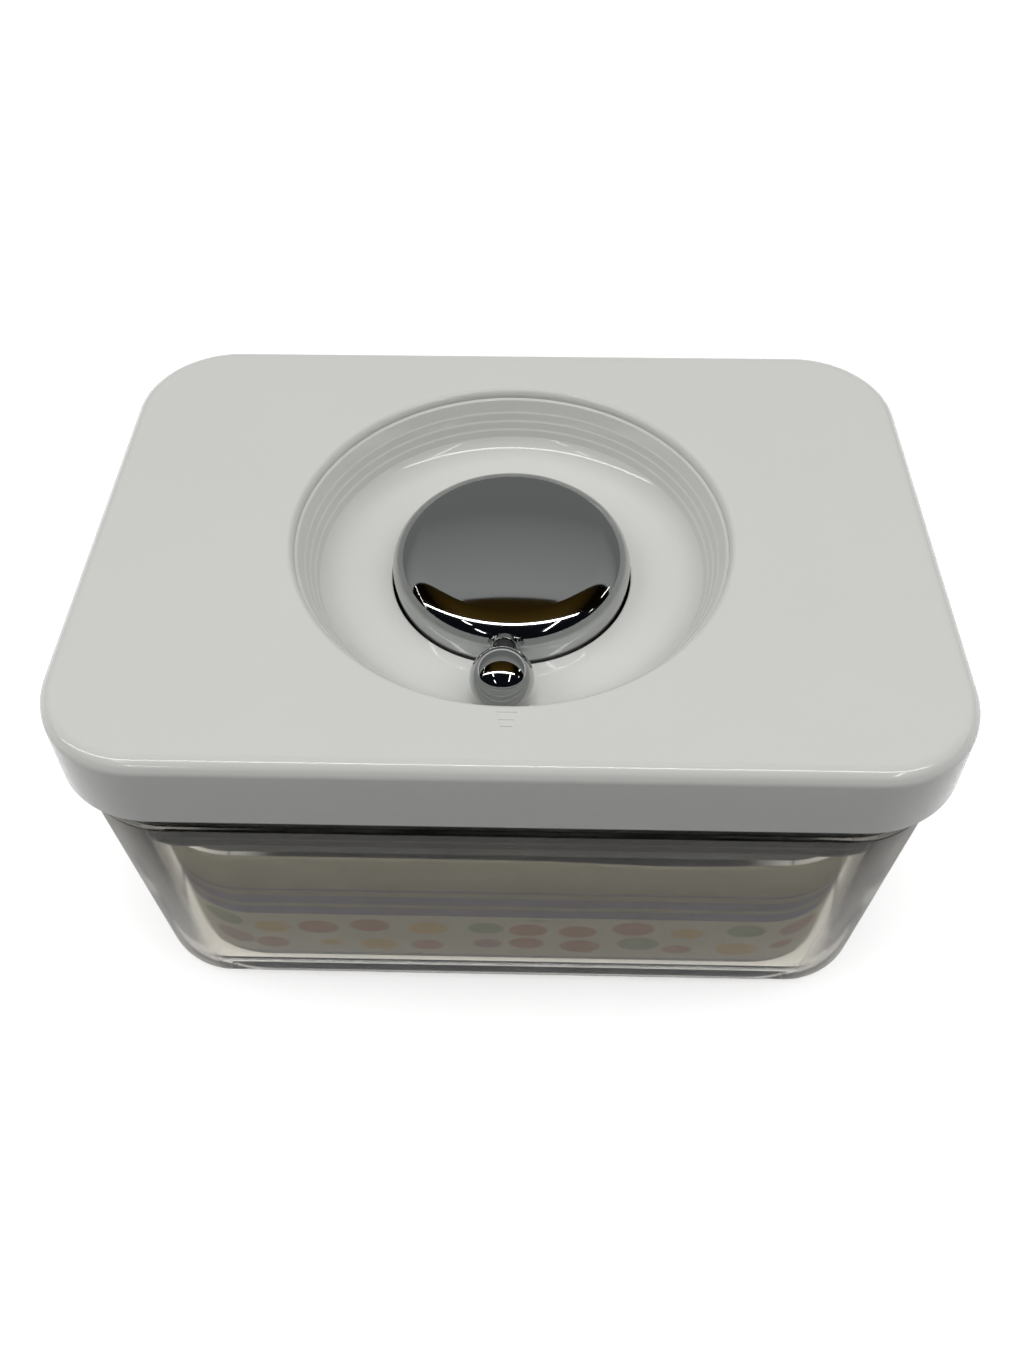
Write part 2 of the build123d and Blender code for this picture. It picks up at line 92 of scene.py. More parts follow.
# %% [markdown]
# ## Grids become meshes
# Every new piece is a grid of points worked out as whole arrays: one direction of the grid runs
# round the piece and the other along its profile. One helper turns such grids into a mesh. Rows
# that shrink to a point are merged there, so poles are closed and not pinholes. Edges that turn
# by more than a set angle stay crisp and the rest is shaded smooth, as on a moulded part.

# %% Mesh helper
merge_distance = 1e-7


def grid_faces(rows, columns, loop_rows, loop_columns, first):
    """Corner numbers of the four-sided faces between neighbouring rows and columns of a grid."""
    r = np.arange(rows if loop_rows else rows - 1)[:, None]
    c = np.arange(columns if loop_columns else columns - 1)[None, :]
    r_next, c_next = (r + 1) % rows, (c + 1) % columns
    corners = [r * columns + c, r * columns + c_next, r_next * columns + c_next, r_next * columns + c]
    return first + np.stack(corners, axis=-1).reshape(-1, 4)


def make_piece(name, grids, body, nodes, crisp=35.0):
    """Joins grids (points in mm, loop over rows, loop over columns) into one mesh that rides on a body. A
    piece with no body is left unattached."""
    points, faces, count = [], [], 0
    for grid, loop_rows, loop_columns in grids:
        faces.append(grid_faces(*grid.shape[:2], loop_rows, loop_columns, count))
        points.append(grid.reshape(-1, 3))
        count += len(points[-1])
    mesh = bpy.data.meshes.new(name)
    mesh.from_pydata((np.concatenate(points) * MM).tolist(), [], np.concatenate(faces).tolist())
    made = bpy.data.objects.new(name, mesh)
    bpy.context.scene.collection.objects.link(made)
    edit = bmesh.new()
    edit.from_mesh(mesh)
    bmesh.ops.remove_doubles(edit, verts=edit.verts, dist=merge_distance)
    edit.to_mesh(mesh)
    edit.free()
    mesh.shade_smooth()
    mesh.set_sharp_from_angle(angle=math.radians(crisp))
    if body:
        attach(made, body)
    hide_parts(*nodes)
    print(name, "has", len(mesh.polygons), "faces")
    return made


print("a tube of 3 rings and 4 columns has", len(grid_faces(3, 4, False, True, 0)), "faces")

# %% [markdown]
# Profiles are polylines whose corners are eased with small arcs. Real moulded edges are never
# perfectly sharp, and these small rounds are what catches the light along a rim.

# %% Eased profile
hardly_turns = 0.01


def eased(corners, rounds, steps=5):
    """Polyline in which a corner with a round r becomes an arc of radius r that touches both runs.
    A corner without a round, or one that hardly turns, stays as it is."""
    corners = np.asarray(corners, float)
    line = [corners[:1]]
    for before, corner, after, r in zip(corners[:-2], corners[1:-1], corners[2:], rounds):
        a = (before - corner) / np.linalg.norm(before - corner)
        b = (after - corner) / np.linalg.norm(after - corner)
        half = math.acos(float(np.clip(a @ b, -1, 1))) / 2
        if r <= 0 or half > math.pi / 2 - hardly_turns:
            line.append(corner[None])
            continue
        centre = corner + (a + b) / np.linalg.norm(a + b) * r / math.sin(half)
        start = corner + a * r / math.tan(half) - centre
        end = corner + b * r / math.tan(half) - centre
        sweep = math.pi - 2 * half
        k = np.linspace(0, 1, steps + 1)[:, None]
        line.append(centre + (start * np.sin((1 - k) * sweep) + end * np.sin(k * sweep)) / math.sin(sweep))
    line.append(corners[-1:])
    return np.concatenate(line)


print("a corner with a round has", len(eased([(0, 0), (2, 0), (2, 2)], [1.0])), "points")

# %% [markdown]
# ## Columns round a rounded rectangle
# The tub, the liner, the seal and the cover are all rounded rectangles. Each is a core rectangle
# with an even reach round it, so a column needs only two things: which point of the core it starts
# from, as a share of the core's half sizes, and which way it points. An inset or a draft then
# changes the reach alone, and the corners stay true arcs.


# %% Rounded rectangle
def rectangle_columns(corner_steps, long_side, short_side):
    """Shares of the core and unit directions, counter-clockwise from the middle of the back side.
    Sides are shares from -1 to 1 and don't include their ends; corners turn through a quarter."""
    quarter = np.linspace(0, math.pi / 2, corner_steps + 1)
    left_back = long_side[long_side <= 0][::-1]
    right_back = long_side[long_side > 0][::-1]
    runs = [(left_back, 1.0, 90), (-1.0, 1.0, None), (-1.0, short_side[::-1], 180), (-1.0, -1.0, None)]
    runs += [(long_side, -1.0, 270), (1.0, -1.0, None), (1.0, short_side, 0), (1.0, 1.0, None)]
    runs += [(right_back, 1.0, 90)]
    shares, turns, corner_start = [], [], 90
    for x, y, fixed in runs:
        if fixed is None:
            angle = math.radians(corner_start) + quarter
            corner_start += 90
        else:
            angle = np.full(len(np.atleast_1d(x if np.ndim(x) else y)), math.radians(fixed))
        shares.append(np.stack(np.broadcast_arrays(x, y, angle)[:2], axis=-1))
        turns.append(angle)
    turns = np.concatenate(turns)
    return np.concatenate(shares), np.stack([np.cos(turns), np.sin(turns)], axis=-1)


def even_side(steps):
    """Shares along one side, evenly spaced, without the two ends that belong to the corners."""
    return np.linspace(-1, 1, steps + 1)[1:-1]


def rectangle_grid(columns, rows):
    """Rows are (core half length, core half width, reach, height), and a point is
    share * core + reach * direction, at the row's height."""
    shares, directions = columns
    rows = np.asarray(rows, float)
    flat = rows[:, None, :2] * shares[None] + rows[:, None, 2:3] * directions[None]
    height = np.broadcast_to(rows[:, None, 3:4], flat.shape[:2] + (1,))
    return np.concatenate([flat, height], axis=-1)


def core_rows(core, line):
    """Profile rows of (reach, height) on one core."""
    return np.column_stack([np.broadcast_to(core, (len(line), 2)), line])


def turned_grid(line, centre=(0, 0, 0), axis=(0, 0, 1), steps=96):
    """Profile of (radius, height) turned round an axis:
    centre + height * axis + radius * direction."""
    axis = np.asarray(axis, float) / np.linalg.norm(axis)
    side = np.cross(axis, (0.0, 1.0, 0.0))
    side = side / np.linalg.norm(side)
    cross = np.cross(axis, side)
    angle = np.linspace(0, 2 * math.pi, steps, endpoint=False)
    around = np.cos(angle)[:, None] * side + np.sin(angle)[:, None] * cross
    line = np.asarray(line, float)
    return np.asarray(centre, float) + line[:, None, 1:2] * axis + line[:, None, 0:1] * around


print("columns of a small rectangle", len(rectangle_columns(4, even_side(6), even_side(4))[0]))

# %% [markdown]
# ## The cover
# The white cover is one moulding: a skirt with a slight draft, a rounded top edge, a flat top and
# a deep round dish with stepped rings. A lathe can't make it, because the outside is a rounded
# rectangle and the dish is round, and cutting one mesh from another leaves messy edges on the
# flat top. So the whole shell is one grid. Its rows run up the outside, over the top, down into
# the dish, through the opening and back along the underside. On the flat top the columns change
# gradually from the rectangle's directions to the circle's.

# %% Cover: the rectangular rows
cover_core = np.array([74.85, 44.65])
cover_top, under_level = 108.0, 105.8
top_reach, under_reach = 19.0, 15.0
inner_skirt = (22.95, 95.0)
skirt = [inner_skirt, (22.95, 89.2), (25.15, 89.2), (23.5, cover_top), (top_reach, cover_top)]
outside = eased(skirt, [0.5, 0.5, 3.7], steps=10)
underside = [(under_reach, under_level), (21.49, under_level), inner_skirt]
inside = eased(underside, [0.8], steps=4)[:-1]
print("skirt rows", len(outside), "inner rows", len(inside))

# %% [markdown]
# The dish's wall isn't one slope. It has a small ledge under the lip and four rings below it, each
# a short step out and a longer riser, and then a wide fillet to the floor that the ball lever
# sweeps over. All of it is one list of radius and height. A polished mould leaves such rings soft,
# so each of their corners moves part of the way to an even wall and gets a small round.


# %% Cover: the dish's profile
def arc(centre, size, angles):
    """Part of a circle or an ellipse: centre + size * (cosine, sine) of each angle."""
    return np.asarray(centre) + np.asarray(size) * np.column_stack([np.cos(angles), np.sin(angles)])


lip_start, lip_centre, lip_size = 52.95, (52.5, 105.8), (1.6, 2.2)
lip_line = arc(lip_centre, lip_size, np.radians(np.linspace(90, 180, 13))[1:-1])

rings = [(50.9, 105.8), (49.6, 105.5), (49.1, 102.8), (48.55, 102.35), (48.25, 100.75), (47.7, 100.3)]
rings = np.array(rings + [(47.4, 98.7), (46.85, 98.25), (46.55, 96.65), (46.0, 96.2)])
wall_levels, wall_radii = [96.2, 102.8, 105.8], [46.0, 49.1, 50.9]
ring_softness = np.array([0, 0.6, 0.6] + [0.65] * 7)
even_wall = np.interp(rings[:, 1], wall_levels, wall_radii)
rings[:, 0] += ring_softness * (even_wall - rings[:, 0])
ring_line = eased(rings, [0.45, 0.6] + [0.35] * 6)

fillet_centre, fillet_round, dish_wall = (39.7, 101.05), 7.95, 2.0
fillet = np.radians(np.linspace(-37.6, -90, 15))[1:]
fillet_line = arc(fillet_centre, fillet_round, fillet)
under_line = arc(fillet_centre, fillet_round + dish_wall, fillet[::-1])

dish_floor, opening = 93.1, 29.15
dish_under = dish_floor - dish_wall
floor_line = [(37.0, dish_floor), (opening, dish_floor), (opening, dish_under), (36.0, dish_under)]
floor_line = eased(floor_line, [0.35, 0.3], steps=4)
floor_line = np.concatenate([[(39.0, dish_floor), (38.0, dish_floor)], floor_line])

under_near, under_far = 55.1, 55.9
dish = np.concatenate([lip_line, ring_line, fillet_line, floor_line, under_line, [(under_near, under_level)]])
print("dish rows", len(dish))

# %% [markdown]
# The index mark in front of the dish is a shallow tapered pocket with two bars left standing. It
# is cut into the same grid: rows and columns lie on its edges, and the points between them sink
# by the depth of the pocket. The columns are pinched towards the middle to follow its taper.

# %% Cover: the index mark's rows
mark_start, mark_end, mark_half, mark_taper, mark_depth = 53.3, 58.0, 2.25, 0.4, 0.15
mark_wall, bar_half, bar_shares = 0.05, 0.3, (0.35, 0.7)
bars = [mark_start + share * (mark_end - mark_start) for share in bar_shares]
edges = [mark_start] + [edge for bar in bars for edge in (bar - bar_half, bar + bar_half)] + [mark_end]
mark_rows = [
    row for a, b in zip(edges[::2], edges[1::2])
    for row in ((a, 0), (a + mark_wall, 1), (b - mark_wall, 1), (b, 0))
]
mark_rows = np.array(mark_rows[::-1], float)
taper = 1 - (1 - mark_taper) * (mark_rows[:, 0] - mark_start) / (mark_end - mark_start)
print("mark rows", len(mark_rows))

# %% [markdown]
# Each row of the cover holds its reach on the rectangle, its reach on the circle, how far it has
# changed from one to the other, its height, how much the mark pinches it and whether it is sunk.


# %% Cover: all rows in order
def cover_rows(rect_reach, round_reach, change, height, pinch=1.0, sunk=0.0):
    """One band of rows; single numbers are repeated for the whole band."""
    values = (rect_reach, round_reach, change, height, pinch, sunk)
    values = np.broadcast_arrays(*[np.asarray(value, float) for value in values])
    return np.stack(values, axis=-1).reshape(-1, len(values))


round_from = 58.5
change = np.linspace(0, 1, 9)[1:]
pinch_in = 1 - (1 - mark_taper) * np.clip((change - 0.5) / 0.5, 0, 1)
rows = np.concatenate([
    cover_rows(outside[1:, 0], 0, 0, outside[1:, 1]),
    cover_rows(top_reach, round_from, change, cover_top, pinch_in),
    cover_rows(0, mark_rows[:, 0], 1, cover_top, taper, mark_rows[:, 1]),
    cover_rows(0, [lip_start, lip_centre[0]], 1, cover_top),
    cover_rows(0, dish[:, 0], 1, dish[:, 1]),
    cover_rows(under_reach, under_far, np.linspace(1, 0, 7)[:-1], under_level),
    cover_rows(inside[:, 0], 0, 0, inside[:, 1]),
])
print("cover rows", len(rows))

# %% [markdown]
# The front side gets extra columns where the mark's sides are. The screw posts that hang inside
# the cover are turned pieces of the same moulding, each with a blind hole for its screw.

# %% Cover: mesh
mark_middle, mark_zone_share = (mark_start + mark_end) / 2, 0.085
pinch_end, pinch_fade = 7.0, 4.2
mark_x = np.array([0.7, 1.4, mark_half - mark_wall, mark_half, 2.6, 3.2, 4.0, 5.0])
mark_x = np.concatenate([-mark_x[::-1], [0.0], mark_x])
mark_share = (cover_core[1] + top_reach) * mark_x / mark_middle / cover_core[0]
front = even_side(120)
front = np.sort(np.concatenate([front[np.abs(front) > mark_zone_share], mark_share]))

shares, directions = rectangle_columns(30, front, even_side(64))
core_line = shares * cover_core
edge_line = core_line + top_reach * directions
polar = edge_line / np.linalg.norm(edge_line, axis=1, keepdims=True)
on_core = rows[:, None, 0:1] * directions[None] + core_line[None]
on_circle = rows[:, None, 1:2] * polar[None]
cover_flat = on_core * (1 - rows[:, None, 2:3]) + on_circle * rows[:, None, 2:3]
near_mark = np.clip((pinch_end - np.abs(cover_flat[..., 0])) / pinch_fade, 0, 1) * (cover_flat[..., 1] < 0)
cover_flat[..., 0] *= 1 - near_mark * (1 - rows[:, None, 4])
in_mark = (np.abs(polar[:, 0]) * mark_middle < mark_half - mark_wall / 2) & (polar[:, 1] < 0)
cover_height = rows[:, None, 3] - mark_depth * rows[:, None, 5] * in_mark[None]
cover_grid = np.concatenate([cover_flat, cover_height[..., None]], axis=-1)

post_x, post_y = 73.25, 43.05
post_line = eased([(0, 93), (1.52, 93), (1.52, 81), (4, 81), (4, 106.2), (0, 106.2)], [0, 0.3, 0.3, 0])
post_places = [(x, y, 0) for x in (-post_x, post_x) for y in (-post_y, post_y)]
posts = [(turned_grid(post_line, place, steps=24), False, True) for place in post_places]
cover = make_piece("cover", [(cover_grid, True, True)] + posts, "lid", ["lid_cover"])

# %% [markdown]
# ## The tub
# The tub is a thick clear moulding: a foot with a recess inside a narrow land, rounded bottom
# edges, straight sides, a shoulder that the cover sits above, and a thinner neck. It is one closed
# grid from the middle of the foot, up the outside, over the rim and down to the middle of the
# floor. A closed wall with a real thickness is what lets it bend light as clear plastic does. Each
# profile starts a little further on than the one before it ends, so that no face folds back.

# %% Tub
tub_core, foot_core = (74.85, 44.65), (65.85, 35.65)
foot_recess, tub_floor, shoulder, tub_rim = 0.8, 3.5, 81.0, 98.0
side_reach, neck_reach, bore_reach, foot_round = 22.4, 21.2, 19.4, 5.22
foot = eased([(8.0, foot_recess), (16.6, foot_recess), (17.4, 0.0)], [0.4])
outer = [(17.0, 0.0), (side_reach, 0.0), (side_reach, shoulder), (neck_reach, shoulder)]
outer = eased(outer + [(neck_reach, tub_rim), (20.0, tub_rim)], [foot_round, 0.5, 0.3, 0.6], steps=10)
bore = [(19.9, tub_rim), (bore_reach, tub_rim), (bore_reach, tub_floor), (5.0, tub_floor)]
bore = eased(bore, [0.4, 8.0], steps=12)
tub_rows = np.concatenate([
    [(0, 0, 0, foot_recess)], core_rows(foot_core, foot),
    core_rows(tub_core, outer), core_rows(tub_core, bore), [(0, 0, 0, tub_floor)],
])
tub_columns = rectangle_columns(24, even_side(48), even_side(32))
tub_grid = rectangle_grid(tub_columns, tub_rows)
tub = make_piece("tub", [(tub_grid, False, True)], "tub", ["canister_tub"])

# %% [markdown]
# ## The printed liner
# Inside the tub stands one long printed sheet, bent round and overlapped at the back. It follows
# the bore, and its outer end lies over its inner end, so its reach grows a little on the way
# round. Its upper edge dips slightly at the front, by a bell curve. The print has its own map:
# metres along the sheet, and metres above the ground.

# %% Liner
sheet_core, sheet_reach, lap_rise, lap_columns = np.array([63.95, 33.75]), 29.73, 0.17, 6
sheet_bottom, sheet_top, sheet_rows, sheet_thickness = 12.5, 66.5, 28, 0.15
dip_place, dip_width, dip_depth = 38.0, 22.0, 1.6

sheet_columns = rectangle_columns(20, even_side(60), even_side(40))
sheet_shares, sheet_directions = [np.concatenate([part, part[:lap_columns]]) for part in sheet_columns]
along = np.linspace(0, 1, len(sheet_shares))[:, None]
sheet_flat = sheet_shares * sheet_core + (sheet_reach + lap_rise * along) * sheet_directions
dip = np.exp(-(((sheet_flat[:, 0] - dip_place) / dip_width) ** 2)) * (sheet_flat[:, 1] < 0)
levels = np.linspace(0, 1, sheet_rows)[:, None]
sheet_height = sheet_bottom + (sheet_top - dip_depth * dip - sheet_bottom)[None] * levels
sheet_grid = np.concatenate([
    np.broadcast_to(sheet_flat[None], (sheet_rows,) + sheet_flat.shape), sheet_height[..., None]
], axis=-1)
liner = make_piece("liner", [(sheet_grid, False, False)], "tub", ["printed_liner"])

sheet_steps = np.linalg.norm(np.diff(sheet_flat, axis=0), axis=1)
travelled = np.concatenate([[0], np.cumsum(sheet_steps)])
map_grid = np.stack(np.broadcast_arrays(travelled[None], sheet_height), axis=-1).reshape(-1, 2) * MM
print_map = liner.data.uv_layers.new(name="print_map")
corner_points = np.zeros(len(liner.data.loops), np.int32)
liner.data.loops.foreach_get("vertex_index", corner_points)
print_map.data.foreach_set("uv", map_grid[corner_points].astype(np.float32).ravel())
thickness = liner.modifiers.new("sheet_thickness", "SOLIDIFY")
thickness.thickness, thickness.offset = sheet_thickness * MM, 0.0
print("sheet length", round(travelled[-1], 1), "mm, overlap at the back")

# %% [markdown]
# ## The dial's cap
# The cap is pressed bright metal: upright sides that turn over a tight edge and a softer shoulder
# into a shallow crown. Chrome shows every kink in its shape, so the three arcs share their
# tangents, and they are cut finely. Its underside is the same form, one wall further in, with
# three bosses for the screws that hold the hub.

# %% Cap
crown_tilt, shoulder_tilt = 9.6, 33
cap_arcs = [
    (0.0, -26.21, 131.44, np.linspace(0, crown_tilt, 40)),
    (20.253, 93.532, 10.0, np.linspace(crown_tilt, shoulder_tilt, 24)[1:]),
    (22.05, 96.3, 6.7, np.linspace(shoulder_tilt, 90, 30)[1:]),
]


def cap_line(inset):
    """Crown, shoulder and edge, one inset inside the outline: the centre of each arc plus its
    radius times (sine, cosine) of the surface's tilt."""
    return np.concatenate([
        arc((centre, level), radius - inset, np.radians(90 - tilt))
        for centre, level, radius, tilt in cap_arcs
    ])


cap_wall, cap_bottom, cap_side = 1.5, 91.0, 28.75
outer_cap, inner_cap = cap_line(0), cap_line(cap_wall)
rim = [inner_cap[-1], (cap_side - cap_wall, cap_bottom), (cap_side, cap_bottom), outer_cap[-1]]
cap_profile = np.concatenate([inner_cap[:-1], eased(rim, [0.3, 0.4]), outer_cap[::-1][1:]])
cap_profile[[0, -1], 0] = 0

lever_angle, boss_circle = math.radians(-92.0), 18
boss_line = [(0, 98), (1.12, 98), (1.12, 93.5), (3, 93.5), (3, 101.5), (0, 101.5)]
boss_line = eased(boss_line, [0, 0.2, 0.3, 0.3])
boss_turns = [lever_angle + math.radians(a) for a in (60, 180, 300)]
boss_places = [(boss_circle * math.cos(a), boss_circle * math.sin(a), 0) for a in boss_turns]
bosses = [(turned_grid(boss_line, place, steps=24), False, True) for place in boss_places]
cap_grid = turned_grid(cap_profile, steps=256)
cap = make_piece("cap", [(cap_grid, False, True)] + bosses, "dial", ["dome_cap"])

# %% [markdown]
# ## The lever
# The ball, its neck and the ring round the neck all lie on one axis, which leaves the dial's side
# and climbs gently to the ball. Each is a profile turned round that axis. The neck has a stud
# that the hub clamps, and a spigot inside the ball.

# %% Lever: its axis
lever_climb = math.radians(10.0)
ball_radius, ball_away, ball_level = 7.1, 39.2, 100.8
lever_out = np.array([math.cos(lever_angle), math.sin(lever_angle), 0])
ball_centre = ball_away * lever_out + np.array([0, 0, ball_level])
lever_axis = -math.cos(lever_climb) * lever_out - np.array([0, 0, math.sin(lever_climb)])


def reach_to(radius):
    """Distance along the lever's axis from the ball's centre to a radius of the dial."""
    return (ball_away - radius) / math.cos(lever_climb)


def lever_piece(name, line, node, closed=False, steps=96):
    """A profile turned round the lever's axis; a closed profile makes a ring."""
    grid = turned_grid(line, ball_centre, lever_axis, steps)
    return make_piece(name, [(grid, closed, True)], "dial", [node])


print("ball centre", np.round(ball_centre, 2), "axis", np.round(lever_axis, 3))

# %% [markdown]
# The ball has a blind hole for the neck's spigot. The neck's end is hollowed to the ball's form,
# a hair clear of it, and its stud steps down twice on the way into the hub.

# %% Lever: ball, neck and collar
hole_radius, hole_end = 1.62, 2.55
ball_tilt = np.linspace(math.pi, math.asin(hole_radius / ball_radius), 72)
ball_line = ball_radius * np.column_stack([np.sin(ball_tilt), np.cos(ball_tilt)])
ball_line[0, 0] = 0
ball_line = np.concatenate([ball_line, [(hole_radius, hole_end), (0, hole_end)]])
ball = lever_piece("ball", ball_line, "ball_knob", steps=128)

seat_radius, spigot_radius, seat_edge = 7.11, 1.6, 2.55
neck_radius, neck_end, stud_radius = 2.6, reach_to(28.2), 1.25
seat = np.linspace(math.asin(spigot_radius / seat_radius), math.asin(seat_edge / seat_radius), 6)
neck_line = [(0, 2.6), (1.4, 2.6), (spigot_radius, 2.8)]
neck_line += [(seat_radius * math.sin(a), seat_radius * math.cos(a)) for a in seat]
neck_line += [(neck_radius, 6.75), (neck_radius, neck_end), (stud_radius, neck_end)]
neck_line += [(stud_radius, reach_to(16.7)), (0, reach_to(16.5))]
neck = lever_piece("neck", neck_line, "lever_neck")

collar_inner, collar_outer = 2.62, 2.95
collar_near, collar_far = reach_to(27.6), reach_to(29.05)
collar_line = [(collar_inner, collar_near), (collar_inner, collar_far), (collar_outer, collar_far)]
collar_line += [(collar_outer, collar_near), (collar_inner, collar_near)]
collar_line = eased(collar_line, [0.08, 0.15, 0.05])[::-1][:-1]
collar = lever_piece("collar", collar_line, "neck_collar", closed=True)

# %% [markdown]
# ## The seal
# The silicone sleeve is held between the plug and the plate. At rest the plate squeezes it, and
# its middle and its two ends press out against the tub, with a shallow groove between each. The
# grooves are a cosine wave, and right at the ends the reach is drawn in by a square.

# %% Seal
seal_low, seal_high, seal_reach, seal_inner = 71.35, 78.5, 19.1, 15.6
groove_depth, groove_count, end_share, end_in = 0.45, 2, 0.06, 0.5
seal_share = np.linspace(0, 1, 41)
grooves = groove_depth * (np.cos((seal_share - 0.5) * 2 * math.pi * groove_count) - 1) / 2
ends = sum(np.clip(1 - away / end_share, 0, 1) ** 2 for away in (seal_share, 1 - seal_share))
seal_heights = seal_low + (seal_high - seal_low) * seal_share
outer_seal = np.column_stack([seal_reach + grooves - end_in * ends, seal_heights])
inner_seal = np.column_stack([np.full(9, seal_inner), np.linspace(seal_high, seal_low, 9)])
seal_rows = core_rows(tub_core, np.concatenate([outer_seal, inner_seal]))
seal_grid = rectangle_grid(tub_columns, seal_rows)
seal = make_piece("seal", [(seal_grid, True, True)], None, ["seal_gasket"], crisp=50)
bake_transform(seal)

# %% [markdown]
# ## The return spring
# A coil spring round the spindle pushes the plate down. It is a circle carried along a helix. Its
# height is the share of the way less a small sine, so the middle climbs faster and each end lies
# flatter, as on a real compression spring. Both ends are closed by a ring shrunk to a point.

# %% Spring
turns, wire, coil, end_flattening = 3.0, 0.6, 7.5, 0.03
spring_low, spring_height = 72.0, 5.8
coil_share = np.linspace(0, 1, 361)
climb = coil_share - end_flattening * np.sin(2 * math.pi * coil_share)
path_angle = 2 * math.pi * turns * coil_share
outward = np.column_stack([np.cos(path_angle), np.sin(path_angle), np.zeros(len(coil_share))])
path = coil * outward + np.column_stack([climb * 0, climb * 0, spring_low + spring_height * climb])
along_path = np.gradient(path, axis=0)
along_path /= np.linalg.norm(along_path, axis=1, keepdims=True)
sideways = np.cross(along_path, outward)
ring_angle = np.linspace(0, 2 * math.pi, 16, endpoint=False)[None, :, None]
circle = np.cos(ring_angle) * outward[:, None] + np.sin(ring_angle) * sideways[:, None]
path, circle = [np.concatenate([part[:1], part, part[-1:]]) for part in (path, circle)]
thick = np.full(len(path), wire)
thick[[0, -1]] = 0
spring_grid = path[:, None] + thick[:, None, None] * circle
spring = make_piece("spring", [(spring_grid, False, True)], None, ["return_spring"], crisp=60)
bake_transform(spring)

# %% [markdown]
# ## Materials
# Each finish is a small node tree on one Principled shader. What is the same all over is set on
# the shader's own sockets. Noise in object coordinates gives the small changes of colour, gloss
# and relief that tell a moulding from a drawing.


# %% Node helpers
def add_node(tree, kind, inputs=None, **settings):
    """Adds a shader node, sets its settings, and fills its inputs with values or links."""
    made = tree.nodes.new("ShaderNode" + kind)
    for name, value in settings.items():
        setattr(made, name, value)
    for name, value in (inputs or {}).items():
        if isinstance(value, bpy.types.NodeSocket):
            tree.links.new(value, made.inputs[name])
        else:
            made.inputs[name].default_value = value
    return made


def calculate(tree, operation, first, second=0.0, clamp=False):
    """One step of arithmetic on values or links."""
    step = add_node(tree, "Math", {0: first, 1: second}, operation=operation, use_clamp=clamp)
    return step.outputs[0]


def between(tree, value, start, end, low=0.0, high=1.0):
    """Goes from low to high while the value goes from start to end, and stays level outside."""
    ends = {"From Min": start, "From Max": end, "To Min": low, "To Max": high}
    return add_node(tree, "MapRange", {"Value": value, **ends}).outputs["Result"]


def beyond(tree, coordinate, near, far):
    """0 while a coordinate is nearer to the middle than one distance, 1 past the other."""
    return between(tree, calculate(tree, "ABSOLUTE", coordinate), near, far)


def object_axes(tree):
    """X, Y and Z of the object's own coordinates, in metres."""
    place = add_node(tree, "TexCoord")
    return add_node(tree, "SeparateXYZ", {"Vector": place.outputs["Object"]}).outputs


print("node helpers", [f.__name__ for f in (add_node, calculate, between, beyond, object_axes)])

# %% [markdown]
# A fade or a pattern becomes a look by mixing: two shaders or two colours by a share, or a ramp of
# colours by a value.


# %% Mixing helpers
def mix_shaders(tree, share, first, second):
    """The first shader where the share is 0, and the second where it is 1."""
    return add_node(tree, "MixShader", {0: share, 1: first, 2: second}).outputs[0]


def mix_colours(tree, share, first, second):
    """The first colour where the share is 0, and the second where it is 1."""
    return add_node(tree, "Mix", {"Factor": share, 6: first, 7: second}, data_type="RGBA").outputs[2]


def colour_steps(tree, value, stops, interpolation):
    """Colour by a value from 0 to 1; stops are (position, colour) in rising order."""
    made = add_node(tree, "ValToRGB", {"Fac": value})
    ramp = made.color_ramp
    ramp.interpolation = interpolation
    while len(ramp.elements) > 1:
        ramp.elements.remove(ramp.elements[0])
    ramp.elements[0].position, ramp.elements[0].color = stops[0]
    for position, colour in stops[1:]:
        ramp.elements.new(position).color = colour
    return made.outputs["Color"]


def show(tree, shader):
    """Makes a shader the surface of its material."""
    tree.links.new(shader, tree.nodes["Material Output"].inputs["Surface"])


print("mixing helpers", [f.__name__ for f in (mix_shaders, mix_colours, colour_steps, show)])

# %% [markdown]
# A finish starts as one Principled shader. Three small additions make it a real surface: a colour
# that drifts, a gloss that drifts, and a fine relief.

# %% Finish helpers
patch_detail = 3.0


def new_finish(name, colour, roughness, **sockets):
    """A material with one Principled shader; returns the material, its tree and the shader."""
    material = bpy.data.materials.new(name)
    material.use_nodes = True
    shader = material.node_tree.nodes["Principled BSDF"]
    shader.inputs["Base Color"].default_value = (*colour, 1)
    shader.inputs["Roughness"].default_value = roughness
    for socket, value in sockets.items():
        shader.inputs[socket.replace("_", " ")].default_value = value
    return material, material.node_tree, shader


def noise(tree, scale, detail):
    """Noise in object coordinates, with its grain per metre."""
    place = add_node(tree, "TexCoord")
    made = add_node(tree, "TexNoise", {"Vector": place.outputs["Object"], "Scale": scale, "Detail": detail})
    return made.outputs["Fac"]


def vary_colour(tree, shader, low, high, scale):
    """Base colour drifts between two near colours over broad soft patches."""
    drift = mix_colours(tree, noise(tree, scale, patch_detail), (*low, 1), (*high, 1))
    tree.links.new(drift, shader.inputs["Base Color"])


def vary_gloss(tree, shader, low, high, scale):
    """Roughness drifts between two values: handled spots and mould marks are never even."""
    drift = between(tree, noise(tree, scale, patch_detail), 0.0, 1.0, low, high)
    tree.links.new(drift, shader.inputs["Roughness"])


